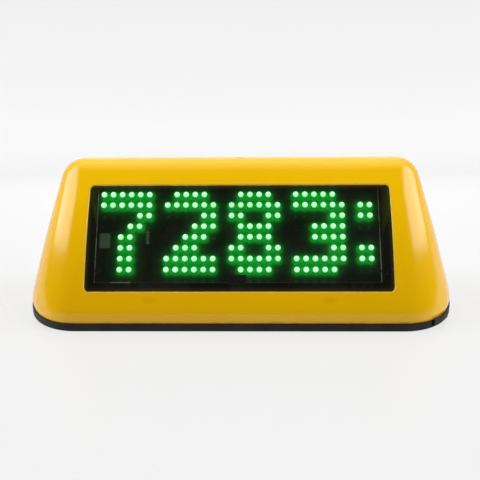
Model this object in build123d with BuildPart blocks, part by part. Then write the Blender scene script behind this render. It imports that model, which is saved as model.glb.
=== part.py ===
from build123d import *
import math
import os

# Taxi roof sign, double sided, magnet mounted. Millimetres, +Z up, front window towards -Y.
# Origin: middle of the footprint, on the plane of the magnet faces (the car roof).
# A side is -1 at the front and +1 at the rear; an end is -1 at the left and +1 at the right.

SIDES = ((-1, "front"), (1, "rear"))
ENDS = ((-1, "left"), (1, "right"))
STANDING = (Align.CENTER, Align.CENTER, Align.MIN)


def four_places(x, y):
    """The point (x, y) mirrored into all four quadrants."""
    return [(sx * x, sy * y) for sx in (-1, 1) for sy in (-1, 1)]


# ---- driving dimensions --------------------------------------------------------------------
STRAIGHT = 136.0        # half length of the straight part of the front and rear faces
WALL = 2.8              # housing wall
HEIGHT = 132.5          # ridge above the roof
# stations of the outside of the housing: height, half depth, half length
OUTER = [
    (6.5, 81, 189), (8.5, 81.59, 189.62), (11, 82, 189.92), (14.5, 81.88, 189.66),
    (19.5, 80.6, 188.5), (25.5, 78.53, 186.97), (33.2, 75.5, 184.71), (42.5, 71.38, 181.94),
    (52.5, 66.5, 179.14), (62.5, 61.24, 176.23), (72.5, 55.62, 173.15), (82.5, 49.63, 170.01),
    (92.5, 43.12, 166.86), (102.5, 36, 163.7), (110.6, 29.8, 161.12), (116.5, 25.08, 159.24),
    (121, 21.41, 157.39), (124.04, 18.91, 155.4), (126.59, 16.57, 153.07),
    (128.74, 13.87, 150.36), (130.44, 10.86, 147.36), (131.54, 8, 144.49),
    (132.17, 5.38, 141.88), (132.45, 3.09, 139.58), (HEIGHT, 1.57, 138.06),
]
# the same surface set in by WALL, same columns
INNER = [
    (4.5, 78.35, 186.39), (6.5, 78.35, 186.39), (8.5, 78.7, 186.73), (11, 79.18, 187.12),
    (14.5, 79.04, 186.81), (19.5, 77.66, 185.61), (25.5, 75.54, 184.07), (33.2, 72.46, 181.78),
    (42.5, 68.29, 179.03), (52.5, 63.36, 176.23), (62.5, 58.05, 173.31), (72.5, 52.38, 170.22),
    (82.5, 46.33, 167.08), (92.5, 39.73, 163.93), (102.5, 32.5, 160.76), (110.6, 26.23, 158.19),
    (115.5, 22.29, 156.62), (119.5, 19.02, 155.02), (122.32, 16.7, 153.19),
    (124.54, 14.66, 151.16), (126.42, 12.3, 148.8), (127.9, 9.68, 146.17),
    (128.86, 7.18, 143.67), (129.41, 4.9, 141.39), (129.65, 2.9, 139.39),
    (HEIGHT - WALL, 1.57, 138.06),
]
FACE_STATIONS = range(4, 17)    # stations of OUTER that the window layers follow

# window, on the chord from (75.5, 33.2) to (29.8, 110.6) of the side profile
WIN_Y, WIN_Z, WIN_LEAN = 52.0, 73.0, 30.56
WIN_W, WIN_H, WIN_R = 256.6, 93.3, 4.0
WIN_CUT = 14.0          # reach of the window outline either side of the chord
LIP_R = 0.8             # rounded outer edge of the opening
LENS_RECESS = 1.2       # lens face below the outside of the housing
PAD_GAP = 0.25          # round the raised part of the lens
GASKET_OUTER, GASKET_INNER = 2.9, 3.7   # depths below the outside of the housing
GASKET_GAP = 0.5        # round the window opening
FLANGE_T = 2.0
FLANGE_W, FLANGE_H, FLANGE_R = 268.0, 101.5, 7.0
PAD_STRIP, FLANGE_STRIP = 130.0, 140.0  # half widths of the layers before trimming

# LED boards; places on a board are (x, y) from its centre, y up the slope
LEAN = 28.7             # from the vertical
BOARD_Y, BOARD_Z = 28.4, 70.1   # centre of the face that carries the LEDs
BOARD_X = -1.7          # of the front board; the rear one is opposite
BOARD_W, BOARD_H, BOARD_T, BOARD_R = 248.7, 88.4, 1.6, 1.5
BOARD_SCREWS = [(x, y) for x in (-120.9, 120.9) for y in (-34.0, 40.5)]
BOARD_HOLE_R = 1.7

# floor, trim and magnets
SEAL_D, SEAL_L, SEAL_IN, SEAL_H = 82.0, 190.6, 7.0, 6.5
PLATE_Z0, PLATE_Z1 = SEAL_H, 9.5
PLATE_D, PLATE_L = 77.9, 185.8
MAG_R = 21.0
MAGNETS = four_places(146.0, 38.0)
BOSS_X, BOSS_Y, END_BOSS_X = 74.0, 70.0, 166.0
BOSSES = four_places(BOSS_X, BOSS_Y) + [(END_BOSS_X, 0), (-END_BOSS_X, 0)]
POST_TOP = 13.5
FOOT_SCREWS = four_places(108.5, 30.0)
CTRL_X, CTRL_Y0, CTRL_Y1, CTRL_T = 50.0, -2.0, 66.0, 1.6
CTRL_TOP = POST_TOP + CTRL_T
CTRL_INSET = 4.5        # screws from the edges of the controller board
CTRL_SCREWS = [
    (sx * (CTRL_X - CTRL_INSET), y)
    for sx in (-1, 1)
    for y in (CTRL_Y0 + CTRL_INSET, CTRL_Y1 - CTRL_INSET)
]
JACK_X, JACK_Z = 30.0, 20.1

# sockets and headers, with the plugs that enter them
SOCKET_W, SOCKET_H = 15.0, 5.6
MOUTH_W, MOUTH_H, MOUTH_RISE = 12.5, 3.4, 1.1
PLUG_W, PLUG_T, PLUG_RISE = 12.3, 3.2, 1.2

os.makedirs("parts", exist_ok=True)

lean_sin, lean_cos = math.sin(math.radians(LEAN)), math.cos(math.radians(LEAN))
win_sin, win_cos = math.sin(math.radians(WIN_LEAN)), math.cos(math.radians(WIN_LEAN))


def save(part, name):
    part.label = name
    export_step(part, f"parts/{name}.step")


def board_plane(side):
    """Face of an LED board: local y runs up the slope, z points outwards."""
    return Plane(
        origin=(-side * BOARD_X, side * BOARD_Y, BOARD_Z),
        x_dir=(-side, 0, 0),
        z_dir=(0, side * lean_cos, lean_sin),
    )


def board_yz(side, up, out):
    """World (y, z) of a point up the slope and out from the face of an LED board."""
    return (
        side * (BOARD_Y - up * lean_sin + out * lean_cos),
        BOARD_Z + up * lean_cos + out * lean_sin,
    )


def window_plane(side):
    return Plane(
        origin=(0, side * WIN_Y, WIN_Z), x_dir=(-side, 0, 0), z_dir=(0, side * win_cos, win_sin)
    )


def section(z, depth, length):
    """Plan outline: straight front and rear, half-elliptical ends."""
    end = length - STRAIGHT
    with BuildSketch(Plane.XY.offset(z)) as outline:
        with BuildLine():
            Line((-STRAIGHT, -depth), (STRAIGHT, -depth))
            EllipticalCenterArc((STRAIGHT, 0), end, depth, start_angle=-90, arc_size=180)
            Line((STRAIGHT, depth), (-STRAIGHT, depth))
            EllipticalCenterArc((-STRAIGHT, 0), end, depth, start_angle=90, arc_size=180)
        make_face()
    return outline.sketch


def profile_point(side, inset, i):
    """World (y, z) of station i of the side profile, set in along the normal."""
    z_below, depth_below, _ = OUTER[i - 1]
    z, depth, _ = OUTER[i]
    z_above, depth_above, _ = OUTER[i + 1]
    rise, spread = z_above - z_below, depth_above - depth_below
    chord = math.hypot(rise, spread)
    return side * (depth - inset * rise / chord), z + inset * spread / chord


def curved_slab(side, outer, inner, half_width):
    """Layer of the front or rear face between two depths below the outside."""
    with BuildSketch(Plane.YZ) as strip:
        with BuildLine():
            outer_edge = Spline(*[profile_point(side, outer, i) for i in FACE_STATIONS])
            inner_edge = Spline(*[profile_point(side, inner, i) for i in FACE_STATIONS])
            Line(outer_edge @ 1, inner_edge @ 1)
            Line(outer_edge @ 0, inner_edge @ 0)
        make_face()
    extrude(strip.sketch, amount=half_width, both=True)


def window_prism(side, width, height, radius, mode):
    with BuildSketch(window_plane(side)) as frame:
        RectangleRounded(width, height, radius)
    extrude(frame.sketch, amount=WIN_CUT, both=True, mode=mode)


def on_window_rim(edge):
    """True for an edge where a window opening meets the outside of the housing."""
    for side, _ in SIDES:
        rim = True
        for t in (0, 0.25, 0.5, 0.75, 1):
            point = window_plane(side).to_local_coords(edge @ t)
            past_x = abs(point.X) - WIN_W / 2 + WIN_R
            past_y = abs(point.Y) - WIN_H / 2 + WIN_R
            # signed distance from the rounded rectangle of the window
            corner = math.hypot(max(past_x, 0), max(past_y, 0))
            off = corner + min(max(past_x, past_y), 0) - WIN_R
            rim = rim and abs(off) < 0.02 and -0.6 < point.Z < 8
        if rim:
            return True
    return False


def pan_screw(x, y, z, shank_r, shank, head_r, head):
    """Pan head screw: underside of the head at z, shank along -z, cross recess."""
    recess, slot = 1.0, 0.7
    with Locations((x, y, z)):
        Cylinder(head_r, head, align=STANDING)
        Cylinder(shank_r, shank, align=(Align.CENTER, Align.CENTER, Align.MAX))
    with Locations((x, y, z + head - recess)):
        Box(head_r * 1.1, slot, recess + 0.1, align=STANDING, mode=Mode.SUBTRACT)
        Box(slot, head_r * 1.1, recess + 0.1, align=STANDING, mode=Mode.SUBTRACT)


# ---- housing -------------------------------------------------------------------------------
BOSS_R, BOSS_H = 4.0, 14.0
BOSS_PILOT_R, BOSS_PILOT_H = 1.5, 12.0
RIB_T, RIB_H, RIB_LIFT = 2.4, 12.0, 1.0
SIDE_RIB_Y, SIDE_RIB_L = 76.5, 8.6
END_RIB_X, END_RIB_L = 178.0, 17.2
JACK_OPENING_R = 5.2
JACK_CUT_Y, JACK_CUT = 90.0, 18.0   # cut starts outside the rear skirt, towards -Y
GATE_Y, GATE_RX, GATE_RY, GATE_DEPTH = -1.5, 3.4, 1.2, 0.25

with BuildPart() as cavity:
    loft([section(*station) for station in INNER])

with BuildPart() as boss_block:
    # six screw bosses, each tied to the wall beside it by a rib
    with BuildSketch(Plane.XY.offset(PLATE_Z1)):
        with Locations(*BOSSES):
            Circle(BOSS_R)
    extrude(amount=BOSS_H)
    with BuildSketch(Plane.XY.offset(PLATE_Z1 + RIB_LIFT)):
        with Locations(*four_places(BOSS_X, SIDE_RIB_Y)):
            Rectangle(RIB_T, SIDE_RIB_L)
        with Locations((END_RIB_X, 0), (-END_RIB_X, 0)):
            Rectangle(END_RIB_L, RIB_T)
    extrude(amount=RIB_H)

with BuildPart() as housing_outer:
    loft([section(*station) for station in OUTER])

with BuildPart() as housing_shell:
    add(housing_outer.part)
    add(cavity.part, mode=Mode.SUBTRACT)
    for side, _ in SIDES:
        window_prism(side, WIN_W, WIN_H, WIN_R, Mode.SUBTRACT)
    # trimmed to the outside, so that the ribs end in the wall
    add(boss_block.part.intersect(housing_outer.part))
    with BuildSketch(Plane.XY.offset(PLATE_Z1)):
        with Locations(*BOSSES):
            Circle(BOSS_PILOT_R)
    extrude(amount=BOSS_PILOT_H, mode=Mode.SUBTRACT)
    # opening in the rear skirt for the supply plug
    with BuildSketch(Plane.XZ.offset(-JACK_CUT_Y)):
        with Locations((JACK_X, JACK_Z)):
            Circle(JACK_OPENING_R)
    extrude(amount=JACK_CUT, mode=Mode.SUBTRACT)
    # gate mark of the moulding, on the ridge
    with BuildSketch(Plane.XY.offset(HEIGHT + 0.1)):
        with Locations((0, GATE_Y)):
            Ellipse(GATE_RX, GATE_RY)
    extrude(amount=-(GATE_DEPTH + 0.1), mode=Mode.SUBTRACT)
    fillet(housing_shell.edges().filter_by(on_window_rim), LIP_R)
save(housing_shell.part, "housing_shell")

# ---- windows -------------------------------------------------------------------------------
for side, name in SIDES:
    # raised part that fills the opening, with a wider flange behind it
    with BuildPart() as pad:
        curved_slab(side, LENS_RECESS, GASKET_INNER, PAD_STRIP)
        window_prism(
            side, WIN_W - 2 * PAD_GAP, WIN_H - 2 * PAD_GAP, WIN_R - PAD_GAP, Mode.INTERSECT
        )
    with BuildPart() as flange:
        curved_slab(side, GASKET_INNER, GASKET_INNER + FLANGE_T, FLANGE_STRIP)
        window_prism(side, FLANGE_W, FLANGE_H, FLANGE_R, Mode.INTERSECT)
    with BuildPart() as lens:
        add(pad.part)
        add(flange.part)
    save(lens.part, name + "_lens")

    with BuildPart() as gasket:
        curved_slab(side, GASKET_OUTER, GASKET_INNER, FLANGE_STRIP)
        window_prism(side, FLANGE_W, FLANGE_H, FLANGE_R, Mode.INTERSECT)
        window_prism(side, WIN_W + 2 * GASKET_GAP, WIN_H + 2 * GASKET_GAP, WIN_R, Mode.SUBTRACT)
    save(gasket.part, name + "_lens_gasket")

# ---- LED boards ----------------------------------------------------------------------------
LED_PITCH_X, LED_PITCH_Y = 8.0, 9.6
LED_GRID_X = -1.2       # middle of the grid
LED_R, LED_FLANGE_R, LED_FLANGE_H, LED_DOME_Z = 2.5, 2.9, 1.0, 6.1
# placeholder figures, two LEDs to a stroke: 30 columns by 8 rows
ROWS = [
    "######..####...####..#####....",
    "######.######.######.######.##",
    "....##.....##.##..##.....##.##",
    "...##.....###..####....####...",
    "..##.....###...####....####...",
    "..##....###...##..##.....##.##",
    "..##...######.######.######.##",
    "..##...######..####..#####....",
]
LEDS = [
    (
        LED_GRID_X + LED_PITCH_X * (i - (len(row) - 1) / 2),
        LED_PITCH_Y * ((len(ROWS) - 1) / 2 - j),
        0,
    )
    for j, row in enumerate(ROWS)
    for i, mark in enumerate(row)
    if mark == "#"
]
CHIP_X, CHIP_Y, CHIP_LIFT = -116.0, -6.8, 0.15
CHIP_SIZE, CHIP_LEAD_SIZE = (7.5, 12.8, 2.3), (1.5, 0.45, 0.9)
CHIP_LEADS, CHIP_LEAD_X, CHIP_PITCH = 10, 4.4, 1.27
ARRAY_X, ARRAY_Y, ARRAY_LIFT = -78.6, -3.9, 0.1
ARRAY_SIZE, ARRAY_LEAD_SIZE = (1.6, 12, 1.4), (3.6, 0.9, 0.6)
ARRAY_LEADS, ARRAY_PITCH = 5, 2.2
SOCKET_Y, SOCKET_D = -40.6, 5.2
SOCKET_MOUTH_Y, SOCKET_MOUTH_D = -41.4, 4.0

# one 5 mm LED with a flange and a dome, seated on the board
with BuildPart() as led:
    with BuildSketch(Plane.XZ):
        with BuildLine():
            Line((0, 0), (LED_FLANGE_R, 0))
            Line((LED_FLANGE_R, 0), (LED_FLANGE_R, LED_FLANGE_H))
            Line((LED_FLANGE_R, LED_FLANGE_H), (LED_R, LED_FLANGE_H))
            Line((LED_R, LED_FLANGE_H), (LED_R, LED_DOME_Z))
            CenterArc((0, LED_DOME_Z), LED_R, 0, 90)
            Line((0, LED_DOME_Z + LED_R), (0, 0))
        make_face()
    revolve(axis=Axis.Z)

for side, name in SIDES:
    plane = board_plane(side)
    with BuildPart() as board:
        with BuildSketch(plane):
            RectangleRounded(BOARD_W, BOARD_H, BOARD_R)
            with Locations(*BOARD_SCREWS):
                Circle(BOARD_HOLE_R, mode=Mode.SUBTRACT)
        extrude(amount=-BOARD_T)
    save(board.part, name + "_led_board")

    with BuildPart(plane) as leds:
        with Locations(*LEDS):
            add(led.part)
    save(leds.part, name + "_leds")

    # driver in a small-outline case, ten leads a side
    with BuildPart(plane) as chip:
        with Locations((CHIP_X, CHIP_Y, CHIP_LIFT)):
            Box(*CHIP_SIZE, align=STANDING)
        with Locations(*[
            (CHIP_X + s * CHIP_LEAD_X, CHIP_Y + CHIP_PITCH * (k - (CHIP_LEADS - 1) / 2), 0)
            for s in (-1, 1)
            for k in range(CHIP_LEADS)
        ]):
            Box(*CHIP_LEAD_SIZE, align=STANDING)
    save(chip.part, name + "_driver_chip")

    with BuildPart(plane) as array:
        with Locations((ARRAY_X, ARRAY_Y, ARRAY_LIFT)):
            Box(*ARRAY_SIZE, align=STANDING)
        with Locations(*[
            (ARRAY_X, ARRAY_Y + ARRAY_PITCH * (k - (ARRAY_LEADS - 1) / 2), 0)
            for k in range(ARRAY_LEADS)
        ]):
            Box(*ARRAY_LEAD_SIZE, align=STANDING)
    save(array.part, name + "_resistor_array")

    # board socket, mouth facing down the slope
    with BuildPart(plane) as socket:
        with Locations((0, SOCKET_Y, 0)):
            Box(SOCKET_W, SOCKET_D, SOCKET_H, align=STANDING)
        with Locations((0, SOCKET_MOUTH_Y, MOUTH_RISE)):
            Box(MOUTH_W, SOCKET_MOUTH_D, MOUTH_H, align=STANDING, mode=Mode.SUBTRACT)
    save(socket.part, name + "_board_socket")

# ---- brackets, spacers, board screws -------------------------------------------------------
SPACER_H, SPACER_R = 4.0, 2.75
BRACKET_X0, BRACKET_X1, BRACKET_T = 115.0, 125.8, 2.0
BRACKET_LOW, BRACKET_HIGH = -40, 44     # ends of the screw flanges, up the slope
BRACKET_OUT = -BOARD_T - SPACER_H       # outer face of the flanges, off the board face
WEB_OUT = BRACKET_OUT - 0.5             # edge of the web, inside the flange thickness
FOOT_X, FOOT_W, HALF_FOOT = 109.0, 14.0, 44.0 - 2.0
WEB_FOOT_Y = 44.0
WEB_OPENING_Z, WEB_OPENING = 41.5, (56, 36, 66)     # base, height, base angle
FOOT_HOLE_R, BRACKET_PILOT_R = 1.75, 1.47

for end, name in ENDS:
    with BuildPart() as bracket:
        # inverted V of two screw flanges
        with BuildSketch(Plane.YZ.offset(end * BRACKET_X0)):
            for side, _ in SIDES:
                with BuildLine():
                    Polyline(
                        board_yz(side, BRACKET_LOW, BRACKET_OUT),
                        board_yz(side, BRACKET_HIGH, BRACKET_OUT),
                        board_yz(side, BRACKET_HIGH, BRACKET_OUT - BRACKET_T),
                        board_yz(side, BRACKET_LOW, BRACKET_OUT - BRACKET_T),
                        close=True,
                    )
                make_face()
        extrude(amount=end * (BRACKET_X1 - BRACKET_X0))
        # web between the flanges, opened in the middle
        with BuildSketch(Plane.YZ.offset(end * BRACKET_X0)):
            with BuildLine():
                Polyline(
                    (-WEB_FOOT_Y, POST_TOP),
                    board_yz(-1, BRACKET_LOW, WEB_OUT),
                    board_yz(-1, BRACKET_HIGH, WEB_OUT),
                    board_yz(1, BRACKET_HIGH, WEB_OUT),
                    board_yz(1, BRACKET_LOW, WEB_OUT),
                    (WEB_FOOT_Y, POST_TOP),
                    close=True,
                )
            make_face()
            with Locations((0, WEB_OPENING_Z)):
                Trapezoid(*WEB_OPENING, mode=Mode.SUBTRACT)
        extrude(amount=end * BRACKET_T)
        # foot
        with Locations((end * FOOT_X, 0, POST_TOP)):
            Box(FOOT_W, 2 * HALF_FOOT, BRACKET_T, align=STANDING)
        with Locations(*[(x, y, POST_TOP) for x, y in FOOT_SCREWS if x * end > 0]):
            Cylinder(FOOT_HOLE_R, 10, mode=Mode.SUBTRACT)
        for side, _ in SIDES:
            # the screw column nearer this end; local x is reversed on the rear board
            with BuildSketch(board_plane(side).offset(BRACKET_OUT + 1)):
                with Locations(*[(x, y) for x, y in BOARD_SCREWS if -x * side * end > 0]):
                    Circle(BRACKET_PILOT_R)
            extrude(amount=-(BRACKET_T + 2), mode=Mode.SUBTRACT)
    save(bracket.part, name + "_board_bracket")

with BuildPart() as board_spacers:
    for side, _ in SIDES:
        with BuildSketch(board_plane(side).offset(-BOARD_T)):
            with Locations(*BOARD_SCREWS):
                Circle(SPACER_R)
                Circle(BOARD_HOLE_R, mode=Mode.SUBTRACT)
        extrude(amount=-SPACER_H)
save(board_spacers.part, "board_spacers")

screw_sets = []
for side, _ in SIDES:
    with BuildPart(board_plane(side)) as screw_set:
        for x, y in BOARD_SCREWS:
            pan_screw(x, y, 0, shank_r=1.45, shank=9.4, head_r=2.75, head=1.9)
    screw_sets.append(screw_set.part)
with BuildPart() as board_screws:
    for screw_part in screw_sets:
        add(screw_part)
save(board_screws.part, "board_screws")

with BuildPart() as bracket_screws:
    for x, y in FOOT_SCREWS:
        pan_screw(x, y, POST_TOP + BRACKET_T, shank_r=1.4, shank=7.5, head_r=2.8, head=2.0)
save(bracket_screws.part, "bracket_screws")

# ---- base plate ----------------------------------------------------------------------------
PAN_RIM, PAN_H, PAN_TAPER = 4.0, 5.0, 4     # raised pans over the magnets
FLOOR_RIB_L, FLOOR_RIB_T, FLOOR_RIB_H = 200, 2, 3.3
SINK = 0.5              # ribs and posts start this far inside the plate
FOOT_POST_R, CTRL_POST_R, POST_PILOT_R, POST_PILOT_H = 3.6, 3.2, 1.42, 6.1
POCKET_GAP, POCKET_H = 0.4, 1.6
MAG_HOLE_R, PLATE_HOLE_R, DRAIN_R = 2.1, 1.8, 2.0
DRAINS = four_places(60, 38)

with BuildPart() as base_plate:
    extrude(section(PLATE_Z0, PLATE_D, PLATE_L), amount=PLATE_Z1 - PLATE_Z0)
    with BuildSketch(Plane.XY.offset(PLATE_Z0)):
        with Locations(*MAGNETS):
            Circle(MAG_R + PAN_RIM)
    extrude(amount=PAN_H, taper=PAN_TAPER)
    # stiffening ribs
    with Locations(*[(0, y, PLATE_Z1 - SINK) for y in (-56, 56, -20)]):
        Box(FLOOR_RIB_L, FLOOR_RIB_T, FLOOR_RIB_H, align=STANDING)
    # posts for the bracket feet and the controller board
    with BuildSketch(Plane.XY.offset(PLATE_Z1 - SINK)):
        with Locations(*FOOT_SCREWS):
            Circle(FOOT_POST_R)
        with Locations(*CTRL_SCREWS):
            Circle(CTRL_POST_R)
    extrude(amount=POST_TOP - PLATE_Z1 + SINK)
    with BuildSketch(Plane.XY.offset(POST_TOP + 0.1)):
        with Locations(*FOOT_SCREWS, *CTRL_SCREWS):
            Circle(POST_PILOT_R)
    extrude(amount=-(POST_PILOT_H + 0.1), mode=Mode.SUBTRACT)
    # magnet pockets, then screw and drain holes
    with BuildSketch(Plane.XY.offset(PLATE_Z0 - 1)):
        with Locations(*MAGNETS):
            Circle(MAG_R + POCKET_GAP)
    extrude(amount=POCKET_H + 1, mode=Mode.SUBTRACT)
    with BuildSketch(Plane.XY.offset(PLATE_Z0 - 1)):
        with Locations(*MAGNETS):
            Circle(MAG_HOLE_R)
        with Locations(*BOSSES):
            Circle(PLATE_HOLE_R)
        with Locations(*DRAINS):
            Circle(DRAIN_R)
    extrude(amount=10, mode=Mode.SUBTRACT)
save(base_plate.part, "base_plate")

# ---- edge trim -----------------------------------------------------------------------------
SEAL_EDGE_R = 0.7
JOINT_DEG = 62.5        # on the right-hand end, turned from +X towards the front
LUG_PROUD, LUG_OVERLAP, LUG_ARC = 1.5, 0.1, 22
LUG_Z, LUG_H = 2.4, 4.9
NOTCH_Z = 2.6           # the bead runs on unbroken below this
NOTCH_SIZE, NOTCH_TURN = (24, 1.8, 12), 12
joint_x = STRAIGHT + (SEAL_L - STRAIGHT) * math.cos(math.radians(JOINT_DEG))
joint_y = -SEAL_D * math.sin(math.radians(JOINT_DEG))

with BuildPart() as edge_seal:
    extrude(section(0, SEAL_D, SEAL_L), amount=SEAL_H)
    fillet(edge_seal.faces().sort_by(Axis.Z)[0].edges(), SEAL_EDGE_R)
    extrude(
        section(-1, SEAL_D - SEAL_IN, SEAL_L - SEAL_IN), amount=SEAL_H + 2, mode=Mode.SUBTRACT
    )
    # loose end at the joint: a short length that stands proud of the run
    with BuildSketch(Plane.XY.offset(LUG_Z)):
        with BuildLine():
            lug_out, lug_in = [
                EllipticalCenterArc(
                    (STRAIGHT, 0), SEAL_L - STRAIGHT + grow, SEAL_D + grow,
                    start_angle=-JOINT_DEG, arc_size=LUG_ARC,
                )
                for grow in (LUG_PROUD, -LUG_OVERLAP)
            ]
            Line(lug_out @ 0, lug_in @ 0)
            Line(lug_out @ 1, lug_in @ 1)
        make_face()
    extrude(amount=LUG_H)
    # the notch between the two ends
    with Locations(Location((joint_x, joint_y, NOTCH_Z), (0, 0, -JOINT_DEG + NOTCH_TURN))):
        Box(*NOTCH_SIZE, align=STANDING, mode=Mode.SUBTRACT)
save(edge_seal.part, "edge_seal")

# ---- magnets -------------------------------------------------------------------------------
MAG_PAD_T, MAG_PAD_HOLE_R = 1.0, 5.4
CUP_H, CUP_WALL, CUP_CORE_R = 7.0, 1.6, 7.0
RING_H, RING_GAP = 5.7, 0.1
SINK_R, SINK_H = 4.6, 2.55      # countersink in the cup
MAG_HEAD_R, MAG_HEAD_H = 4.4, 2.4
MAG_SHANK_R, MAG_SHANK_Z, MAG_SHANK_H = 1.95, 1.2, 16.3
SLOT_L, SLOT_W, SLOT_Z, SLOT_H = 4.4, 0.8, 0.9, 1.2
WASHER_Z, WASHER_R, WASHER_T = PLATE_Z0 + PAN_H, 5.0, 0.9
NUT_R, NUT_HOLE_R, NUT_H = 4.05, 1.97, 3.2

with BuildPart() as magnet_pads:
    with BuildSketch(Plane.XY):
        with Locations(*MAGNETS):
            Circle(MAG_R)
            Circle(MAG_PAD_HOLE_R, mode=Mode.SUBTRACT)
    extrude(amount=MAG_PAD_T)
save(magnet_pads.part, "magnet_pads")

with BuildPart() as magnet_cups:
    with BuildSketch(Plane.XY.offset(MAG_PAD_T)):
        with Locations(*MAGNETS):
            Circle(MAG_R)
    extrude(amount=CUP_H)
    # channel for the ring
    with BuildSketch(Plane.XY.offset(MAG_PAD_T)):
        with Locations(*MAGNETS):
            Circle(MAG_R - CUP_WALL)
            Circle(CUP_CORE_R, mode=Mode.SUBTRACT)
    extrude(amount=RING_H, mode=Mode.SUBTRACT)
    # countersunk hole for the fixing screw
    with BuildSketch(Plane.XY.offset(MAG_PAD_T)):
        with Locations(*MAGNETS):
            Circle(MAG_HOLE_R)
    extrude(amount=CUP_H + 0.5, mode=Mode.SUBTRACT)
    with BuildSketch(Plane.XY.offset(MAG_PAD_T)):
        with Locations(*MAGNETS):
            Circle(SINK_R)
    extrude(amount=SINK_H, taper=45, mode=Mode.SUBTRACT)
save(magnet_cups.part, "magnet_cups")

with BuildPart() as magnet_rings:
    with BuildSketch(Plane.XY.offset(MAG_PAD_T)):
        with Locations(*MAGNETS):
            Circle(MAG_R - CUP_WALL - RING_GAP)
            Circle(CUP_CORE_R + RING_GAP, mode=Mode.SUBTRACT)
    extrude(amount=RING_H)
save(magnet_rings.part, "magnet_rings")

with BuildPart() as magnet_screws:
    with BuildSketch(Plane.XY.offset(MAG_PAD_T)):
        with Locations(*MAGNETS):
            Circle(MAG_HEAD_R)
    extrude(amount=MAG_HEAD_H, taper=45)
    with BuildSketch(Plane.XY.offset(MAG_SHANK_Z)):
        with Locations(*MAGNETS):
            Circle(MAG_SHANK_R)
    extrude(amount=MAG_SHANK_H)
    with Locations(*[(x, y, SLOT_Z) for x, y in MAGNETS]):
        Box(SLOT_L, SLOT_W, SLOT_H, align=STANDING, mode=Mode.SUBTRACT)
        Box(SLOT_W, SLOT_L, SLOT_H, align=STANDING, mode=Mode.SUBTRACT)
save(magnet_screws.part, "magnet_screws")

with BuildPart() as magnet_washers:
    with BuildSketch(Plane.XY.offset(WASHER_Z)):
        with Locations(*MAGNETS):
            Circle(WASHER_R)
            Circle(MAG_HOLE_R, mode=Mode.SUBTRACT)
    extrude(amount=WASHER_T)
save(magnet_washers.part, "magnet_washers")

with BuildPart() as magnet_nuts:
    with BuildSketch(Plane.XY.offset(WASHER_Z + WASHER_T)):
        with Locations(*MAGNETS):
            RegularPolygon(NUT_R, 6)
            Circle(NUT_HOLE_R, mode=Mode.SUBTRACT)
    extrude(amount=NUT_H)
save(magnet_nuts.part, "magnet_nuts")

# ---- housing screws, heads under the plate -------------------------------------------------
under = Plane(origin=(0, 0, PLATE_Z0), x_dir=(1, 0, 0), z_dir=(0, 0, -1))
with BuildPart(under) as housing_screws:
    for x, y in BOSSES:
        pan_screw(x, -y, 0, shank_r=1.45, shank=13.5, head_r=3.2, head=2.2)
save(housing_screws.part, "housing_screws")

# ---- controller ----------------------------------------------------------------------------
with BuildPart() as controller_board:
    with Locations((0, (CTRL_Y0 + CTRL_Y1) / 2, POST_TOP)):
        Box(2 * CTRL_X, CTRL_Y1 - CTRL_Y0, CTRL_T, align=STANDING)
    with BuildSketch(Plane.XY.offset(POST_TOP - 1)):
        with Locations(*CTRL_SCREWS):
            Circle(1.7)
    extrude(amount=CTRL_T + 2, mode=Mode.SUBTRACT)
save(controller_board.part, "controller_board")

with BuildPart() as controller_screws:
    for x, y in CTRL_SCREWS:
        pan_screw(x, y, CTRL_TOP, shank_r=1.4, shank=7.0, head_r=2.8, head=2.0)
save(controller_screws.part, "controller_screws")

MCU_X, MCU_Y, MCU_W, MCU_SPAN = -8, 22, 10, 12      # span is over the leads
MCU_LEAD_W, MCU_LEAD_H = 0.35, 0.5
MCU_STEPS = [0.8 * (k - 5) for k in range(11)]

with BuildPart() as controller_chip:
    with Locations((MCU_X, MCU_Y, CTRL_TOP + 0.1)):
        Box(MCU_W, MCU_W, 1.4, align=STANDING)
    with Locations(*[(MCU_X + step, MCU_Y, CTRL_TOP) for step in MCU_STEPS]):
        Box(MCU_LEAD_W, MCU_SPAN, MCU_LEAD_H, align=STANDING)
    with Locations(*[(MCU_X, MCU_Y + step, CTRL_TOP) for step in MCU_STEPS]):
        Box(MCU_SPAN, MCU_LEAD_W, MCU_LEAD_H, align=STANDING)
save(controller_chip.part, "controller_chip")

# regulator, with its back against the heat sink at REG_Y
REG_X, REG_Y, REG_W, REG_LIFT = -33, 40, 10, 3.0
REG_BODY_D, REG_BODY_H, REG_TAB_T, REG_TAB_H = 4.4, 9, 1.3, 15.5
REG_LEAD_PITCH, REG_LEAD_Y, REG_LEAD_SIZE = 2.54, 42.6, (0.8, 0.5, 4.0)
REG_HOLE_R, REG_HOLE_Z = 1.8, CTRL_TOP + 15.8
HEAT_SINK_W, HEAT_SINK_T, HEAT_SINK_H = 22, 2, 18
FINS, FIN_PITCH, FIN_T, FIN_D, FIN_Y = 6, 4.0, 1.2, 10, 38.5

with BuildPart() as voltage_regulator:
    with Locations((REG_X, REG_Y, CTRL_TOP + REG_LIFT)):
        Box(REG_W, REG_BODY_D, REG_BODY_H, align=(Align.CENTER, Align.MIN, Align.MIN))
        Box(REG_W, REG_TAB_T, REG_TAB_H, align=(Align.CENTER, Align.MIN, Align.MIN))
    with Locations(*[(REG_X + REG_LEAD_PITCH * k, REG_LEAD_Y, CTRL_TOP) for k in (-1, 0, 1)]):
        Box(*REG_LEAD_SIZE, align=STANDING)
    with Locations(Location((REG_X, REG_Y, REG_HOLE_Z), (90, 0, 0))):
        Cylinder(REG_HOLE_R, 8, mode=Mode.SUBTRACT)
save(voltage_regulator.part, "voltage_regulator")

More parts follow.
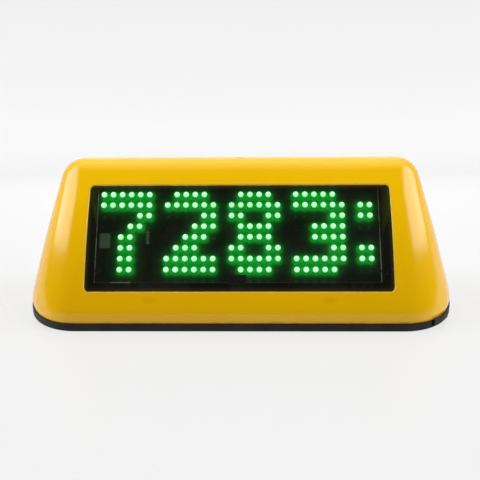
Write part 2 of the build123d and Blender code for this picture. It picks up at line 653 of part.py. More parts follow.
with BuildPart() as regulator_heat_sink:
    with Locations((REG_X, REG_Y, CTRL_TOP)):
        Box(HEAT_SINK_W, HEAT_SINK_T, HEAT_SINK_H, align=(Align.CENTER, Align.MAX, Align.MIN))
    with Locations(*[
        (REG_X + FIN_PITCH * (k - (FINS - 1) / 2), FIN_Y, CTRL_TOP) for k in range(FINS)
    ]):
        Box(FIN_T, FIN_D, HEAT_SINK_H, align=(Align.CENTER, Align.MAX, Align.MIN))
save(regulator_heat_sink.part, "regulator_heat_sink")

CAP_PLACE, CAP_R, CAP_H, CAP_EDGE_R = (-36, 14), 5, 16, 0.8
SCORE_L, SCORE_W, SCORE_DEPTH = 8, 0.5, 0.3     # cross scored in the top

with BuildPart() as filter_capacitor:
    with BuildSketch(Plane.XY.offset(CTRL_TOP)):
        with Locations(CAP_PLACE):
            Circle(CAP_R)
    extrude(amount=CAP_H)
    fillet(filter_capacitor.faces().sort_by(Axis.Z)[-1].edges(), CAP_EDGE_R)
    with BuildSketch(Plane.XY.offset(CTRL_TOP + CAP_H)):
        with Locations(CAP_PLACE):
            Rectangle(SCORE_L, SCORE_W)
            Rectangle(SCORE_W, SCORE_L)
    extrude(amount=-SCORE_DEPTH, mode=Mode.SUBTRACT)
save(filter_capacitor.part, "filter_capacitor")

FUSE_X, FUSE_Y, HOLDER_H = 30, 36, 8.5
BLADE_XS = (FUSE_X - 3.5, FUSE_X + 3.5)

with BuildPart() as fuse_holder:
    with Locations((FUSE_X, FUSE_Y, CTRL_TOP)):
        Box(16, 7, HOLDER_H, align=STANDING)
    with Locations(*[(x, FUSE_Y, CTRL_TOP + 0.8) for x in BLADE_XS]):
        Box(3.4, 1.1, 10, align=STANDING, mode=Mode.SUBTRACT)
save(fuse_holder.part, "fuse_holder")

with BuildPart() as blade_fuse:
    with Locations((FUSE_X, FUSE_Y, CTRL_TOP + HOLDER_H)):
        Box(11.2, 3.8, 8, align=STANDING)
    # dip in the top, between the two blades
    with Locations((FUSE_X, FUSE_Y, CTRL_TOP + 14.5)):
        Box(5.0, 5, 3, align=STANDING, mode=Mode.SUBTRACT)
    with Locations(*[(x, FUSE_Y, CTRL_TOP + 1.2) for x in BLADE_XS]):
        Box(2.8, 0.8, 8, align=STANDING)
save(blade_fuse.part, "blade_fuse")

# supply jack at the rear edge of the board, behind the opening in the skirt
JACK_Y, JACK_SIZE = 60.2, (9.4, 14.4, 10.2)
BORE_R, BORE_Y0, BORE_Y1 = 3.2, 67, 78
PIN_R, PIN_Y, PIN_L = 1.0, 66, 9.5

with BuildPart() as power_jack:
    with Locations((JACK_X, JACK_Y, CTRL_TOP)):
        Box(*JACK_SIZE, align=(Align.CENTER, Align.MIN, Align.MIN))
    with BuildSketch(Plane.XZ.offset(-BORE_Y1)):
        with Locations((JACK_X, JACK_Z)):
            Circle(BORE_R)
    extrude(amount=BORE_Y1 - BORE_Y0, mode=Mode.SUBTRACT)
    with BuildSketch(Plane.XZ.offset(-PIN_Y)):
        with Locations((JACK_X, JACK_Z)):
            Circle(PIN_R)
    extrude(amount=-PIN_L)
save(power_jack.part, "power_jack")

# ---- board leads ---------------------------------------------------------------------------
HEADERS = ((-1, 3.4), (1, 37.4))    # side that the mouth faces, y of the middle
HEADER_D, HEADER_MOUTH_D, HEADER_MOUTH_SHIFT = 8.0, 6.4, 1.0
UPPER_PLUG_Y, UPPER_PLUG_L = -39.8, 7.6     # upper end and length, on the board face
# side, name, y of the inner end of the lower plug, its length, pull of the curve at each end
LEADS = ((-1, "front", 5.0, 11.0, 30, 70), (1, "rear", 36.0, 9.0, 22, 44))
LEAD_W, LEAD_T = 10.4, 1.1
LEAD_GAP = 0.3          # between a plug and the end of its lead

# two right-angle headers, mouths to the front and to the rear
with BuildPart() as board_headers:
    with Locations(*[(-side * BOARD_X, y, CTRL_TOP) for side, y in HEADERS]):
        Box(SOCKET_W, HEADER_D, SOCKET_H, align=STANDING)
    with Locations(*[
        (-side * BOARD_X, y + side * HEADER_MOUTH_SHIFT, CTRL_TOP + MOUTH_RISE)
        for side, y in HEADERS
    ]):
        Box(MOUTH_W, HEADER_MOUTH_D, MOUTH_H, align=STANDING, mode=Mode.SUBTRACT)
save(board_headers.part, "board_headers")

upper_plugs = []
for side, _ in SIDES:
    with BuildPart(board_plane(side)) as upper:
        with Locations((0, UPPER_PLUG_Y, PLUG_RISE)):
            Box(PLUG_W, UPPER_PLUG_L, PLUG_T, align=(Align.CENTER, Align.MAX, Align.MIN))
    upper_plugs.append(upper.part)
with BuildPart() as cable_plugs:
    for plug in upper_plugs:
        add(plug)
    for side, _, inner_y, length, _, _ in LEADS:
        with Locations((-side * BOARD_X, inner_y + side * length / 2, CTRL_TOP + PLUG_RISE)):
            Box(PLUG_W, length, PLUG_T, align=STANDING)
save(cable_plugs.part, "cable_plugs")


def strip_edges(start, start_pull, end, end_pull, half, count=14):
    """Points either side of a cubic that leaves and arrives along the two pulls."""
    controls = (start, start_pull, end, end_pull)
    left, right = [], []
    for k in range(count + 1):
        t = k / count
        weights = (2 * t**3 - 3 * t**2 + 1, t**3 - 2 * t**2 + t, -2 * t**3 + 3 * t**2, t**3 - t**2)
        slopes = (6 * t**2 - 6 * t, 3 * t**2 - 4 * t + 1, -6 * t**2 + 6 * t, 3 * t**2 - 2 * t)
        x, y = [sum(w * c[i] for w, c in zip(weights, controls)) for i in (0, 1)]
        dx, dy = [sum(w * c[i] for w, c in zip(slopes, controls)) for i in (0, 1)]
        speed = math.hypot(dx, dy)
        left.append((x - half * dy / speed, y + half * dx / speed))
        right.append((x + half * dy / speed, y - half * dx / speed))
    return left, right


# flat leads between the plugs: a strip of even thickness bent in one plane
for side, name, inner_y, length, leave, arrive in LEADS:
    left, right = strip_edges(
        board_yz(side, UPPER_PLUG_Y - UPPER_PLUG_L - LEAD_GAP, PLUG_RISE + PLUG_T / 2),
        (leave * side * lean_sin, -leave * lean_cos),
        (inner_y + side * (length + LEAD_GAP), CTRL_TOP + PLUG_RISE + PLUG_T / 2),
        (-side * arrive, 0),
        LEAD_T / 2,
    )
    with BuildPart() as cable:
        with BuildSketch(Plane.YZ.offset(-side * BOARD_X)) as strip:
            with BuildLine():
                left_edge = Spline(*left)
                right_edge = Spline(*right)
                Line(left_edge @ 0, right_edge @ 0)
                Line(left_edge @ 1, right_edge @ 1)
            make_face()
        extrude(strip.sketch, amount=LEAD_W / 2, both=True)
    save(cable.part, name + "_board_cable")
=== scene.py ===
"""A lit LED sign: a yellow gloss housing with a sloping smoked window on each long side.

The sign stands on z = 0 with its length along x. Its front faces -y, towards the camera.
An LED board leans behind each window. The paper floor curves up into a wall at +y.
Lengths are in metres unless a comment says otherwise.
"""
import math
from functools import cached_property

import bpy
from mathutils import Matrix, Vector


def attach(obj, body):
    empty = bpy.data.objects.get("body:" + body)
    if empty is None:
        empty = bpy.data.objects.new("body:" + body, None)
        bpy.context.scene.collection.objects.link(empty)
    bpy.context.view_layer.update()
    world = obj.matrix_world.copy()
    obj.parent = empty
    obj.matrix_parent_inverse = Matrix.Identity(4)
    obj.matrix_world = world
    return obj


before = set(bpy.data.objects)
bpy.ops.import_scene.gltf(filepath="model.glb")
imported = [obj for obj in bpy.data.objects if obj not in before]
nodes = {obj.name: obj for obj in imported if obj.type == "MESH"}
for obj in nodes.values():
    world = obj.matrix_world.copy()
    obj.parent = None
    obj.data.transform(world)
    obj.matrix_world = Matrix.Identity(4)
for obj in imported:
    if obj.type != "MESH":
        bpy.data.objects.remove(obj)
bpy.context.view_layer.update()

# Windows: a rounded rectangle on each sloping side, mirrored in y
WINDOW_LEAN = math.radians(30.56)
WINDOW_Y, WINDOW_Z = 0.052, 0.073           # centre
WINDOW_HALF_LENGTH, WINDOW_HALF_HEIGHT = 0.1283, 0.04665
WINDOW_CORNER = 0.004

# LED boards: centre, lean and size of the front one; the rear one is turned half round z
BOARD_LEAN = math.radians(28.7)
BOARD_X, BOARD_Y, BOARD_Z = -0.0017, 0.0284, 0.0701
BOARD_LENGTH, BOARD_HEIGHT = 0.2487, 0.0884

# LEDs: grid pitches, sideways offset of the grid and height of a tip above the board
LED_PITCH_X, LED_PITCH_Y = 0.008, 0.0096
LED_OFFSET = -0.0012
LED_HEIGHT = 0.0086
# Lit places (#), top row first, left to right as seen from outside the window
LED_ROWS = [
    "######..####...####..#####....",
    "######.######.######.######.##",
    "....##.....##.##..##.....##.##",
    "...##.....###..####....####...",
    "..##.....###...####....####...",
    "..##....###...##..##.....##.##",
    "..##...######.######.######.##",
    "..##...######..####..#####....",
]

# Printed skin over each board
PRINT_CELLS_X, PRINT_CELLS_Y = 498, 178
PRINT_MARGIN = 0.0003
PRINT_LIFT = 0.00004

# Light spilled on the print by each LED: strength and spread of three soft spots
SPILL_REACH = 0.013
CORE_SPREAD = 0.0029
HALO_STRENGTH, HALO_SPREAD = 0.10, 0.0062
SPARK_STRENGTH, SPARK_SPREAD = 0.22, 0.0007
SPARK_DROP = 0.0094                         # the small spark lies this far below its LED

# Paper floor that sweeps up into a wall
PAPER_FRONT, PAPER_BEND, PAPER_TOP = -6.0, 2.2, 6.0
PAPER_RADIUS, PAPER_STEPS = 1.6, 16
PAPER_HALF_WIDTH = 8.0
PAPER_DROP = 0.0002                         # gap under the sign
PAPER_ALBEDO = 0.13
FLOOR_GLOW, WALL_GLOW = 0.70, 0.775         # the paper's own light, near and far

# Levels of the surrounding light: side walls, top, back, and an even fill all round
SIDE_LIGHT, TOP_LIGHT, BACK_LIGHT, FILL_LIGHT = 5.5, 1.04, 1.0, 0.01
SEEN_BACKGROUND = 0.85                      # what the camera sees beyond the paper

CAMERA_PLACE = (0.012, -0.616, 0.2215)
CAMERA_PITCH, CAMERA_ROLL = math.radians(75), math.radians(-0.38)
CAMERA_SENSOR, CAMERA_LENS = 36.0, 52.05    # millimetres
CAMERA_SHIFT = -0.00056

BLACK = (0.0, 0.0, 0.0, 1.0)
WHITE = (1.0, 1.0, 1.0, 1.0)


# ---------------------------------------------------------------- shader graph helpers
def srgb(*channels):
    """Turn sRGB 0-255 into linear RGBA."""
    linear = []
    for channel in channels:
        level = channel / 255.0
        low = level <= 0.04045
        linear.append(level / 12.92 if low else ((level + 0.055) / 1.055) ** 2.4)
    return (*linear, 1.0)


class Value:
    """A node output. Arithmetic on it adds Math nodes."""

    def __init__(self, graph, socket):
        self.graph = graph
        self.socket = socket

    def __add__(self, other):
        return self.graph.math("ADD", self, other)

    def __radd__(self, other):
        return self.graph.math("ADD", other, self)

    def __sub__(self, other):
        return self.graph.math("SUBTRACT", self, other)

    def __rsub__(self, other):
        return self.graph.math("SUBTRACT", other, self)

    def __mul__(self, other):
        return self.graph.math("MULTIPLY", self, other)

    def __truediv__(self, other):
        return self.graph.math("DIVIDE", self, other)

    def __abs__(self):
        return self.graph.math("ABSOLUTE", self)

    def maximum(self, other):
        return self.graph.math("MAXIMUM", self, other)

    def minimum(self, other):
        return self.graph.math("MINIMUM", self, other)

    def remap(self, span, to=(0.0, 1.0), smooth=False):
        """Carry the range span onto the range to, clamped at both ends."""
        return self.graph.node(
            "MapRange", dict(enumerate((self, *span, *to))),
            interpolation_type="SMOOTHSTEP" if smooth else "LINEAR")


class Graph:
    """Short builders for the nodes of one shader tree."""

    def __init__(self, tree):
        self.tree = tree

    def feed(self, socket, value):
        """Link a Value to an input, or set the input to a constant."""
        if isinstance(value, Value):
            self.tree.links.new(value.socket, socket)
        else:
            socket.default_value = value

    def node(self, kind, inputs=None, output=0, **settings):
        """Add a node and return one of its outputs."""
        node = self.tree.nodes.new("ShaderNode" + kind)
        for name, setting in settings.items():
            setattr(node, name, setting)
        for name, value in (inputs or {}).items():
            self.feed(node.inputs[name], value)
        return Value(self, node.outputs[output])

    @cached_property
    def coordinates(self):
        return self.node("TexCoord").socket.node.outputs

    def coordinate(self, name):
        return Value(self, self.coordinates[name])

    @cached_property
    def place(self):
        """Where textures are read: object coordinates, unless assigned."""
        return self.coordinate("Object")

    def separate(self, vector):
        x = self.node("SeparateXYZ", {0: vector})
        return [Value(self, socket) for socket in x.socket.node.outputs]

    def math(self, operation, *operands):
        return self.node("Math", dict(enumerate(operands)), operation=operation)

    def noise(self, scale, detail=4.0, rough=0.55, stretch=None):
        place = self.place
        if stretch:
            place = self.node("Mapping", {"Scale": stretch, "Vector": place})
        return self.node("TexNoise", {
            "Scale": scale, "Detail": detail, "Roughness": rough, "Vector": place,
        }, output="Fac")

    def ramp(self, factor, stops):
        """Colour ramp; stops maps position to linear RGBA."""
        color = self.node("ValToRGB", {"Fac": factor}, output="Color")
        elements = color.socket.node.color_ramp.elements
        while len(elements) < len(stops):
            elements.new(0.5)
        for element, (position, stop_color) in zip(elements, stops.items()):
            element.position = position
            element.color = stop_color
        return color

    def mix(self, factor, first, second, blend="MIX"):
        """Mix two colours. Inputs 6 and 7 and output 2 are the node's colour sockets."""
        return self.node("Mix", {0: factor, 6: first, 7: second}, output=2,
                         data_type="RGBA", blend_type=blend)

    def mix_shader(self, factor, first, second):
        return self.node("MixShader", {0: factor, 1: first, 2: second})

    def bump(self, height, strength, distance=0.001):
        return self.node("Bump", {"Strength": strength, "Distance": distance, "Height": height})


class Material(Graph):
    """A new material with its Principled shader."""

    def __init__(self, name):
        self.material = bpy.data.materials.new(name)
        self.material.use_nodes = True
        super().__init__(self.material.node_tree)
        self.principled = self.tree.nodes["Principled BSDF"]

    def set(self, inputs):
        for name, value in inputs.items():
            self.feed(self.principled.inputs[name], value)

    def surface(self, shader):
        self.feed(self.tree.nodes["Material Output"].inputs["Surface"], shader)


def length(a, b):
    return a.graph.math("SQRT", a * a + b * b)


def ellipse_patch(x, z, center_x, center_z, radius_x, radius_z, softness):
    """1 inside an ellipse in x-z, falling to 0 outside."""
    distance = length((x - center_x) / radius_x, (z - center_z) / radius_z)
    return distance.remap(span=(1.0 - softness, 1.0 + softness), to=(1.0, 0.0), smooth=True)


def window_edge(x, y, z):
    """Signed distance from the outline of either window; negative inside it."""
    up_slope = ((abs(y) - WINDOW_Y) * -math.sin(WINDOW_LEAN)
                + (z - WINDOW_Z) * math.cos(WINDOW_LEAN))
    past_x = abs(x) - (WINDOW_HALF_LENGTH - WINDOW_CORNER)
    past_y = abs(up_slope) - (WINDOW_HALF_HEIGHT - WINDOW_CORNER)
    outside = length(past_x.maximum(0.0), past_y.maximum(0.0))
    return outside + past_x.maximum(past_y).minimum(0.0) - WINDOW_CORNER


def window_depth(y, z):
    """Distance outwards from the plane of either window."""
    return ((abs(y) - WINDOW_Y) * math.cos(WINDOW_LEAN)
            + (z - WINDOW_Z) * math.sin(WINDOW_LEAN))


# ---------------------------------------------------------------- materials
def yellow_gloss():
    mat = Material("yellow_gloss")
    x, y, z = mat.separate(mat.place)
    base = mat.ramp(mat.noise(scale=9, detail=3), {0.3: srgb(251, 194, 3), 0.7: srgb(253, 198, 5)})

    # painted shade: the tone deepens towards the foot; painted reflection of the floor: it pales a
    # little up the lower skirt
    painted_foot_shade = z.remap(span=(0.105, 0.030), smooth=True)
    base = mat.mix(painted_foot_shade * 0.26, base, srgb(204, 150, 2))
    painted_skirt_reflection = z.remap(span=(0.0075, 0.0295), to=(1.0, 0.0), smooth=True)
    base = mat.mix(painted_skirt_reflection * 0.16, base, srgb(228, 168, 30))

    # painted shade of the screw bosses behind the shell, showing through it, front and rear
    left, right = (
        ellipse_patch(x, z, center_x=boss_x, center_z=0.0262,
                      radius_x=0.0058, radius_z=0.0024, softness=0.6)
        for boss_x in (-0.074, 0.074))
    base = mat.mix(left.maximum(right) * 0.16, base, srgb(150, 112, 14))

    # oval gate mark on the ridge
    gate_distance = length(x / 0.0034, (y + 0.0015) / 0.0013)
    gate = gate_distance.remap(span=(0.8, 1.2), to=(1.0, 0.0)) * z.remap(span=(0.1305, 0.1315))
    base = mat.mix(gate * 0.55, base, srgb(120, 92, 20))

    # grime that gathers at the trim line
    near_trim = z.remap(span=(0.0067, 0.0100), to=(1.0, 0.0), smooth=True)
    grime = near_trim * mat.noise(scale=60, detail=5).remap(span=(0.45, 0.7), to=(0.0, 0.5))
    base = mat.mix(grime, base, srgb(120, 92, 30))

    # painted highlight round the windows: a paler, slightly chalky band where the rounded window
    # edge catches light
    lip_highlight = window_edge(x, y, z).remap(span=(0.0023, 0.0002), smooth=True)
    highlight_level = mat.noise(scale=60, detail=3).remap(span=(0.3, 0.7), to=(0.34, 0.50))
    base = mat.mix(lip_highlight * highlight_level, base, srgb(192, 172, 92))

    specks = mat.noise(scale=900, detail=2).remap(span=(0.70, 0.76), to=(0.0, 0.22))
    base = mat.mix(specks, base, srgb(215, 170, 40))

    # painted shade on the inside of the shell: its faces look back at the middle of the part and are
    # darkened
    from_middle = mat.node("VectorMath", {0: mat.place, 1: (0.0, 0.0, 0.04)},
                           operation="SUBTRACT")
    facing = mat.node("VectorMath", {0: from_middle, 1: mat.coordinate("Normal")},
                      output="Value", operation="DOT_PRODUCT")
    behind = window_depth(y, z).remap(span=(-0.0022, -0.0014), to=(1.0, 0.0))
    inside = facing.remap(span=(-0.004, -0.001), to=(1.0, 0.0)) * behind
    inside_shade_level = mat.noise(scale=30, detail=3).remap(span=(0.3, 0.7), to=(0.88, 0.95))
    base = mat.mix(inside * inside_shade_level, base, srgb(38, 30, 14))

    # hairline wear in the gloss, and a gently wavy skin
    hair = mat.noise(scale=120, detail=6, rough=0.7, stretch=(1.0, 0.12, 0.9))
    hair = hair.remap(span=(0.35, 0.75))
    wave = mat.noise(scale=34, detail=2) * 1.0 + mat.noise(scale=420, detail=2) * 0.10
    mat.set({
        "Base Color": base,
        "Roughness": mat.noise(scale=22, detail=4) * 0.05 + hair * 0.03 + 0.14,
        "Coat Weight": 0.22,
        "Coat Roughness": 0.04,
        "Specular IOR Level": 0.26,
        "Subsurface Weight": 0.03,
        "Subsurface Radius": (0.004, 0.002, 0.0005),
        "Normal": mat.bump(wave, strength=0.05),
        "Coat Normal": mat.bump(mat.noise(scale=34, detail=2), strength=0.015),
    })
    return mat.material


def smoked_lens():
    """Thin smoked plastic: tinted see-through with a clear reflection and faint smears."""
    mat = Material("smoked_lens")
    mat.tree.nodes.remove(mat.principled)
    front = 1.0 - mat.node("NewGeometry", output="Backfacing")

    tint = mat.ramp(mat.noise(scale=14, detail=3),
                    {0.3: (0.57, 0.59, 0.55, 1), 0.7: (0.60, 0.62, 0.58, 1)})
    clear = mat.node("BsdfTransparent", {"Color": tint})
    gloss = mat.node("BsdfGlossy", {
        "Color": WHITE,
        "Roughness": mat.noise(scale=30, detail=5).remap(span=(0.3, 0.8), to=(0.03, 0.09)),
        "Normal": mat.bump(mat.noise(scale=28, detail=2), strength=0.04),
    })
    mirror = mat.node("Fresnel", {"IOR": 1.46}) * 0.9 * front
    lens = mat.mix_shader(mirror, clear, gloss)

    smear = mat.node("BsdfDiffuse", {"Color": (0.55, 0.56, 0.55, 1)})
    dust = mat.noise(scale=45, detail=6).remap(span=(0.5, 0.85), to=(0.0, 0.012))
    lens = mat.mix_shader(dust * front, lens, smear)

    # the yellow rim mirrored in the edge of the lens
    x, y, z = mat.separate(mat.place)
    band = window_edge(x, y, z).remap(span=(-0.0042, -0.0006), smooth=True)
    level = mat.noise(scale=20, detail=3).remap(span=(0.3, 0.7), to=(0.015, 0.028))
    rim = mat.node("Emission", {"Color": srgb(255, 196, 10), "Strength": band * level * front})
    lens = mat.node("AddShader", {0: lens, 1: rim})

    # painted glow: a faint pale light over the whole lens
    level = mat.noise(scale=18, detail=4).remap(span=(0.3, 0.7), to=(0.0042, 0.0064))
    painted_lens_glow = mat.node("Emission", {"Color": (0.95, 1.0, 0.70, 1.0), "Strength": level * front})
    mat.surface(mat.node("AddShader", {0: lens, 1: painted_lens_glow}))
    return mat.material


def led_green():
    """Lit LED: near-white green on the dome, deeper green down the side."""
    mat = Material("led_green")
    tip = mat.node("Attribute", output="Fac", attribute_name="tip")
    glow = mat.ramp(tip, {
        0.0: (0.0, 0.22, 0.02, 1),
        0.60: (0.0, 0.45, 0.05, 1),
        0.70: (0.08, 0.66, 0.16, 1),
        0.78: (0.20, 0.84, 0.30, 1),
        0.87: (0.42, 1.0, 0.54, 1),
        1.0: (0.58, 1.0, 0.68, 1),
    })
    variation = mat.noise(scale=160, detail=1).remap(span=(0.3, 0.7), to=(0.85, 1.12))
    mat.set({
        "Base Color": (0.10, 0.42, 0.16, 1.0),
        "Emission Color": glow,
        "Emission Strength": tip.remap(span=(0.45, 0.90), to=(1.1, 3.4)) * variation,
        "Roughness": 0.25,
        "Coat Weight": 0.4,
        "Normal": mat.bump(mat.noise(scale=700, detail=2), strength=0.05, distance=0.0003),
    })
    return mat.material


def circuit_board(name, dark, light, track):
    """Solder mask in two tones with a web of tracks."""
    mat = Material(name)
    base = mat.ramp(mat.noise(scale=38, detail=5), {0.3: srgb(*dark), 0.75: srgb(*light)})
    web = mat.node("TexVoronoi", {"Scale": 170, "Vector": mat.place},
                   output="Distance", feature="DISTANCE_TO_EDGE")
    lines = web.remap(span=(0.03, 0.06), to=(1.0, 0.0))
    relief = lines + mat.noise(scale=600, detail=3) * 0.4
    mat.set({
        "Base Color": mat.mix(lines * 0.35, base, srgb(*track)),
        "Roughness": mat.noise(scale=90, detail=4).remap(span=(0.3, 0.8), to=(0.28, 0.48)),
        "Specular IOR Level": 0.5,
        "Coat Weight": 0.15,
        "Normal": mat.bump(relief, strength=0.12, distance=0.0003),
    })
    return mat.material


def moulded(name, dark, light, roughness=(0.42, 0.62), grain=700, bump=0.18,
            wear=None, mottle=25, extra=None):
    """Textured plastic or rubber: mottled, pitted, and scuffed where a wear colour is given."""
    mat = Material(name)
    base = mat.ramp(mat.noise(scale=mottle, detail=5), {0.28: srgb(*dark), 0.72: srgb(*light)})
    if wear:
        scuffs = mat.noise(scale=55, detail=8, rough=0.72, stretch=(1.0, 1.0, 2.5))
        base = mat.mix(scuffs.remap(span=(0.60, 0.74), to=(0.0, 0.5)), base, srgb(*wear))
    mat.set({
        "Base Color": base,
        "Roughness": mat.noise(scale=60, detail=4).remap(span=(0.3, 0.75), to=roughness),
        "Normal": mat.bump(mat.noise(scale=grain, detail=3), strength=bump, distance=0.0004),
        **(extra or {}),
    })
    return mat.material


def metal(name, dark, light, roughness=(0.24, 0.42), stretch=(1, 1, 18), scale=120):
    """Plated or brushed metal: directional grain and tarnish patches."""
    mat = Material(name)
    grain = mat.noise(scale=scale, detail=6, rough=0.65, stretch=stretch)
    base = mat.ramp(mat.noise(scale=35, detail=4), {0.3: srgb(*dark), 0.7: srgb(*light)})
    shade = tuple(channel * 0.55 for channel in srgb(*dark)[:3]) + (1.0,)
    mat.set({
        "Base Color": mat.mix(grain.remap(span=(0.35, 0.75), to=(0.0, 0.35)), base, shade),
        "Metallic": 1.0,
        "Roughness": grain.remap(span=(0.3, 0.75), to=roughness),
        "Normal": mat.bump(grain, strength=0.08, distance=0.0003),
    })
    return mat.material


# Each material with the pieces that wear it
MATERIALS = [
    (yellow_gloss(), ["housing_shell"]),
    (smoked_lens(), ["front_lens", "rear_lens"]),
    (led_green(), ["front_leds", "rear_leds"]),
    (circuit_board("led_board", dark=(14, 20, 15), light=(22, 32, 22), track=(30, 40, 28)),
     ["front_led_board", "rear_led_board"]),
    (circuit_board("green_board", dark=(18, 70, 38), light=(30, 96, 52), track=(60, 130, 80)),
     ["controller_board"]),
    (moulded("black_foam", dark=(22, 22, 22), light=(34, 34, 34),
             roughness=(0.8, 0.95), grain=1500, bump=0.4),
     ["front_lens_gasket", "rear_lens_gasket"]),
    # painted light: the chips glow faintly green, standing in for the LEDs' light on them
    (moulded("chip_with_painted_glow", dark=(70, 78, 66), light=(104, 116, 98),
             roughness=(0.4, 0.55), grain=900, bump=0.15, wear=(150, 160, 140), mottle=220,
             extra={"Emission Color": (0.55, 0.90, 0.50, 1.0), "Emission Strength": 0.11}),
     ["front_driver_chip", "rear_driver_chip", "front_resistor_array", "rear_resistor_array"]),
    (moulded("chip_black", dark=(38, 40, 40), light=(54, 57, 55),
             roughness=(0.45, 0.6), grain=1800, bump=0.15),
     ["controller_chip", "voltage_regulator"]),
    (moulded("connector_ivory", dark=(196, 188, 160), light=(214, 206, 182),
             roughness=(0.38, 0.55), grain=900, bump=0.1, wear=(170, 158, 120)),
     ["board_headers"]),
    (moulded("spacer_nylon", dark=(205, 204, 196), light=(222, 221, 214),
             roughness=(0.4, 0.55), grain=900, bump=0.1),
     ["board_spacers"]),
    (moulded("base_black", dark=(18, 18, 19), light=(30, 30, 32),
             grain=900, bump=0.30, wear=(70, 70, 70)),
     ["base_plate"]),
    (moulded("trim_rubber", dark=(13, 12, 9), light=(24, 23, 20),
             roughness=(0.50, 0.72), grain=1300, bump=0.28, wear=(46, 43, 38), mottle=40,
             extra={"Specular IOR Level": 0.35}),
     ["edge_seal"]),
    (moulded("pad_rubber", dark=(34, 34, 34), light=(48, 47, 46),
             roughness=(0.7, 0.9), grain=1300, bump=0.35, wear=(96, 92, 86)),
     ["magnet_pads"]),
    (moulded("ferrite", dark=(52, 52, 54), light=(70, 70, 73),
             roughness=(0.5, 0.7), grain=900, bump=0.2),
     ["magnet_rings"]),
    (moulded("plug_grey", dark=(46, 45, 42), light=(62, 60, 56),
             roughness=(0.45, 0.6), grain=900, bump=0.12),
     ["cable_plugs"]),
    (moulded("holder_black", dark=(28, 28, 30), light=(42, 42, 44),
             roughness=(0.4, 0.55), grain=900, bump=0.15, wear=(66, 66, 66)),
     ["front_board_socket", "rear_board_socket", "fuse_holder", "power_jack"]),
    (moulded("fuse_amber", dark=(206, 118, 16), light=(226, 140, 34),
             roughness=(0.2, 0.32), grain=500, bump=0.06),
     ["blade_fuse"]),
    (moulded("capacitor_sleeve", dark=(26, 34, 66), light=(34, 44, 82),
             roughness=(0.22, 0.34), grain=500, bump=0.06),
     ["filter_capacitor"]),
    (moulded("lead_grey", dark=(98, 98, 102), light=(126, 126, 130),
             roughness=(0.5, 0.65), grain=900, bump=0.2, wear=(150, 148, 142)),
     ["front_board_cable", "rear_board_cable"]),
    (metal("zinc_screw", dark=(176, 178, 176), light=(206, 206, 200)),
     ["board_screws", "bracket_screws", "magnet_screws", "magnet_washers", "magnet_nuts",
      "controller_screws"]),
    (metal("black_screw", dark=(44, 44, 46), light=(66, 66, 68), roughness=(0.35, 0.5)),
     ["housing_screws"]),
    (metal("bracket_steel", dark=(164, 167, 170), light=(196, 198, 200),
           roughness=(0.28, 0.46), stretch=(1, 1, 14), scale=90),
     ["left_board_bracket", "right_board_bracket"]),
    (metal("cup_steel", dark=(150, 152, 154), light=(184, 186, 188),
           roughness=(0.3, 0.5), stretch=(1, 14, 1), scale=90),
     ["magnet_cups"]),
    (metal("heat_sink_alu", dark=(170, 172, 176), light=(200, 202, 206),
           roughness=(0.3, 0.45), stretch=(1, 1, 20), scale=140),
     ["regulator_heat_sink"]),
]
LOOKS = {piece: material for material, pieces in MATERIALS for piece in pieces}
for piece, obj in nodes.items():
    obj.data.materials.clear()
    obj.data.materials.append(LOOKS[piece])


# ---------------------------------------------------------------- LED tips and board prints
LED_SPOTS = [
    (LED_OFFSET + LED_PITCH_X * (i - 14.5), LED_PITCH_Y * (3.5 - j))
    for j, row in enumerate(LED_ROWS) for i, mark in enumerate(row) if mark == "#"
]


def add_object(name, mesh):
    obj = bpy.data.objects.new(name, mesh)
    bpy.context.scene.collection.objects.link(obj)
    return obj


def shade_smooth(mesh):
    for face in mesh.polygons:
        face.use_smooth = True


def board_axes(side):
    """Centre of a board and its directions along, up and outwards; side is the sign of y."""
    center = Vector((-side * BOARD_X, side * BOARD_Y, BOARD_Z))
    along = Vector((-side, 0, 0))
    outward = Vector((0, side * math.cos(BOARD_LEAN), math.sin(BOARD_LEAN)))
    return center, along, outward.cross(along), outward


def mark_led_tips(mesh, center, outward):
    """Store each vertex's height over the board: 0 at the board, 1 at the LED tip."""
    tip = mesh.attributes.new("tip", "FLOAT", "POINT")
    for i, vertex in enumerate(mesh.vertices):
        height = (Vector(vertex.co) - center).dot(outward)
        tip.data[i].value = max(0.0, min(1.0, height / LED_HEIGHT))
    shade_smooth(mesh)


def spilled_light(x, y, spots):
    """Light that the given LEDs throw on a point of the board."""
    light = 0.0
    for spot_x, spot_y in spots:
        dx = spot_x - x
        if abs(dx) < SPILL_REACH:
            square = dx * dx + (spot_y - y) ** 2
            light += (math.exp(-square / (2 * CORE_SPREAD ** 2))
                      + HALO_STRENGTH * math.exp(-square / (2 * HALO_SPREAD ** 2)))
            spark_square = dx * dx + (spot_y - SPARK_DROP - y) ** 2
            light += SPARK_STRENGTH * math.exp(-spark_square / (2 * SPARK_SPREAD ** 2))
    return light


